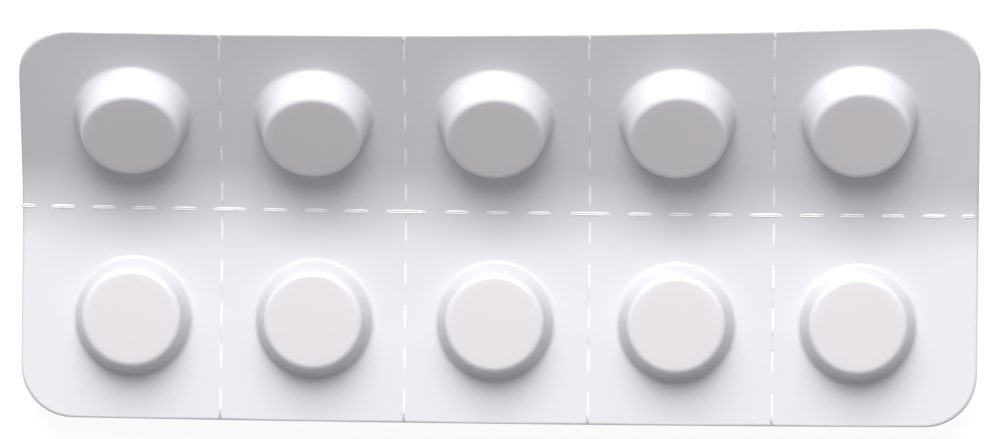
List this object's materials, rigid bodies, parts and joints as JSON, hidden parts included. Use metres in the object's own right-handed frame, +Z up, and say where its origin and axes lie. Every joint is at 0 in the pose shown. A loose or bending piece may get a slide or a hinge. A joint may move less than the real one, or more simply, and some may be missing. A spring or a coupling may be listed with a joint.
{
  "type": "tablet blister pack",
  "caption": "Sealed tablet blister card: opaque formed film with rows of round flat-topped pockets on a foil lid, with dashed perforations and a shallow V bend along the middle one.",
  "frame": {"origin": "under the centre of the card's box, on the surface it lies on", "axes": "+X along the card, parallel to the middle perforation; +Y across it, towards the half that is twisted; +Z up, out of the pocket side"},
  "size_m": [0.0926, 0.04, 0.0085],
  "materials": {
    "formed_film": "glossy",
    "lidding_foil": "satin"
  },
  "bodies": {
    "root": {"blister_card": "formed_film"}
  },
  "joints": []
}
